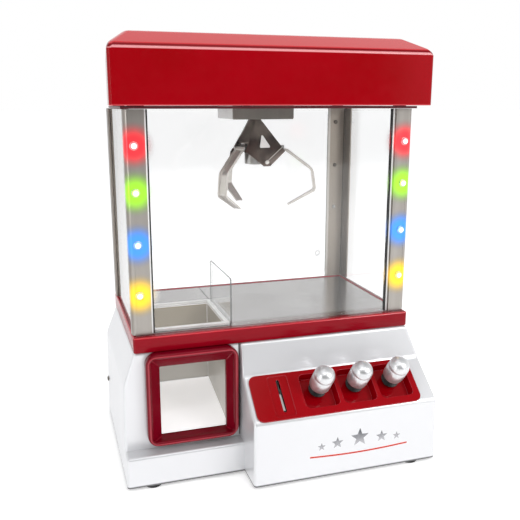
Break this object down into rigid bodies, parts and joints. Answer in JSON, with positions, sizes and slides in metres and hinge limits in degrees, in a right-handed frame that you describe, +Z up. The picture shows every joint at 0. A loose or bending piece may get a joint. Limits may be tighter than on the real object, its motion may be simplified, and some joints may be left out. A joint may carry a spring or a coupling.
{
  "type": "claw crane machine",
  "caption": "Tabletop toy claw crane: red-roofed clear cabinet with a finger claw on a moving gantry, joystick panel with coin slot, and a prize chute with open door.",
  "frame": {"origin": "bottom centre of the bounding box, on the table under the feet", "axes": "+Z up, -Y towards the player, +X to the player's right"},
  "size_m": [0.26, 0.1889, 0.3548],
  "materials": {
    "silver_plastic": "silver-white painted plastic, satin",
    "black_plastic": "moulded",
    "rubber": "matt",
    "board": "circuit board with chips",
    "red_gloss": "polished moulded plastic",
    "dark_red": "moulded plastic, soft gloss",
    "grey_metal": "metallic silver-grey",
    "steel": "polished",
    "satin_chrome": "satin chrome-look plating",
    "hood_metal": "dark nickel",
    "clear": "clear acrylic sheet",
    "white_plastic": "moulded",
    "light_lens": "translucent coloured lenses on a light strip",
    "sheet_metal": "bright folded sheet"
  },
  "bodies": {
    "cabinet": {"base_shell": "silver_plastic", "base_plate": "black_plastic", "foot_front_left": "rubber", "foot_front_right": "rubber", "foot_rear_left": "rubber", "foot_rear_right": "rubber", "circuit_board": "board", "speaker": "black_plastic", "dc_jack": "black_plastic", "control_panel": "red_gloss", "joystick_bracket": "black_plastic", "coin_guide": "white_plastic", "window_sill": "red_gloss", "floor_tray": "grey_metal", "chute_rim": "sheet_metal", "prize_chute": "sheet_metal", "chute_guard": "clear", "prize_door_frame": "dark_red", "post_front_left": "grey_metal", "post_front_right": "grey_metal", "post_rear_left": "grey_metal", "post_rear_right": "grey_metal", "led_strip_left": "light_lens", "led_strip_right": "light_lens", "window_front": "clear", "window_left": "clear", "window_right": "clear", "rear_hinge_pin": "steel", "top_frame": "black_plastic", "side_rail_left": "steel", "side_rail_right": "steel", "roof_cover": "red_gloss"},
    "battery_door": {"battery_door": "black_plastic"},
    "power_switch": {"power_switch": "black_plastic"},
    "rear_door": {"rear_door": "clear", "rear_door_knob": "clear"},
    "stick_left": {"lever_left": "steel", "knob_left": "satin_chrome"},
    "stick_middle": {"lever_middle": "steel", "knob_middle": "satin_chrome"},
    "stick_right": {"lever_right": "steel", "knob_right": "satin_chrome"},
    "coin_lever": {"coin_lever": "steel"},
    "bridge": {"bridge_frame": "black_plastic", "bridge_rod_front": "steel", "bridge_rod_rear": "steel", "y_motor": "steel"},
    "y_pinion": {"y_pinion": "white_plastic"},
    "carriage": {"carriage_housing": "grey_metal", "carriage_cover": "black_plastic", "hoist_motor": "steel", "x_motor": "steel", "hoist_cord": "black_plastic"},
    "x_pinion": {"x_pinion": "white_plastic"},
    "hoist_spool": {"hoist_spool": "white_plastic"},
    "claw": {"claw_hub": "steel", "claw_hood": "hood_metal"},
    "finger_right": {"finger_right": "steel"},
    "finger_rear": {"finger_rear": "steel"},
    "finger_left": {"finger_left": "steel"}
  },
  "joints": [
    {"name": "battery_door_hinge", "type": "hinge", "parent": "cabinet", "child": "battery_door", "pos_m": [0, 0.00335, 0.0028], "axis": [-1, 0, 0], "range_deg": [0, 95]},
    {"name": "power_rocker", "type": "hinge", "parent": "cabinet", "child": "power_switch", "pos_m": [0.096, 0.09045, 0.03], "axis": [0, 0, -1], "range_deg": [0, 12]},
    {"name": "rear_door_hinge", "type": "hinge", "parent": "cabinet", "child": "rear_door", "pos_m": [-0.1015, 0.08905, 0.211], "axis": [0, 0, 1], "range_deg": [0, 110]},
    {"name": "stick_left_tilt", "type": "hinge", "parent": "cabinet", "child": "stick_left", "pos_m": [0.0276, -0.0647, 0.06293], "axis": [0, 0.7702, 0.6379], "range_deg": [-14, 14], "stiffness_Nm_per_rad": 0.25},
    {"name": "stick_middle_tilt", "type": "hinge", "parent": "cabinet", "child": "stick_middle", "pos_m": [0.06115, -0.0647, 0.06293], "axis": [1, 0, 0], "range_deg": [-14, 14], "stiffness_Nm_per_rad": 0.25},
    {"name": "stick_right_tilt", "type": "hinge", "parent": "cabinet", "child": "stick_right", "pos_m": [0.0947, -0.0647, 0.06293], "axis": [1, 0, 0], "range_deg": [-14, 14], "stiffness_Nm_per_rad": 0.25},
    {"name": "coin_trip", "type": "hinge", "parent": "cabinet", "child": "coin_lever", "pos_m": [-0.0056, -0.05533, 0.072], "axis": [1, 0, 0], "range_deg": [0, 14], "stiffness_Nm_per_rad": 0.02, "springref_deg": -8.59},
    {"name": "bridge_travel", "type": "slide", "parent": "cabinet", "child": "bridge", "axis": [0, 1, 0], "range_m": [-0.012, 0.01]},
    {"name": "y_pinion_spin", "type": "hinge", "parent": "bridge", "child": "y_pinion", "pos_m": [-0.0985, 0.05905, 0.318], "axis": [1, 0, 0], "range_deg": [-96, 116]},
    {"name": "carriage_travel", "type": "slide", "parent": "bridge", "child": "carriage", "axis": [1, 0, 0], "range_m": [-0.06, 0.056]},
    {"name": "x_pinion_spin", "type": "hinge", "parent": "carriage", "child": "x_pinion", "pos_m": [0, 0.01505, 0.33], "axis": [0, 1, 0], "range_deg": [-536, 574]},
    {"name": "claw_drop", "type": "slide", "parent": "carriage", "child": "claw", "axis": [0, 0, -1], "range_m": [0, 0.05], "deforming": ["hoist_cord"]},
    {"name": "spool_spin", "type": "hinge", "parent": "carriage", "child": "hoist_spool", "pos_m": [0.005, 0.01405, 0.299], "axis": [0, 1, 0], "range_deg": [-495, 0]},
    {"name": "finger_right_swing", "type": "hinge", "parent": "claw", "child": "finger_right", "pos_m": [0.02241, 0.00698, 0.2645], "axis": [-0.3007, -0.9537, 0], "range_deg": [-28, 10]},
    {"name": "finger_rear_swing", "type": "hinge", "parent": "claw", "child": "finger_rear", "pos_m": [-0.00509, 0.03699, 0.2645], "axis": [0.9763, 0.2164, 0], "range_deg": [-28, 10]},
    {"name": "finger_left_swing", "type": "hinge", "parent": "claw", "child": "finger_left", "pos_m": [-0.01733, -0.00183, 0.2645], "axis": [-0.6756, 0.7373, 0], "range_deg": [-28, 10]}
  ],
  "couplings": [
    {"joint": "y_pinion_spin", "follows": "bridge_travel", "rad_per_m": -166.67},
    {"joint": "x_pinion_spin", "follows": "carriage_travel", "rad_per_m": -166.67},
    {"joint": "spool_spin", "follows": "claw_drop", "rad_per_m": -172.41},
    {"joint": "finger_rear_swing", "follows": "finger_right_swing", "ratio": 1},
    {"joint": "finger_left_swing", "follows": "finger_right_swing", "ratio": 1}
  ]
}
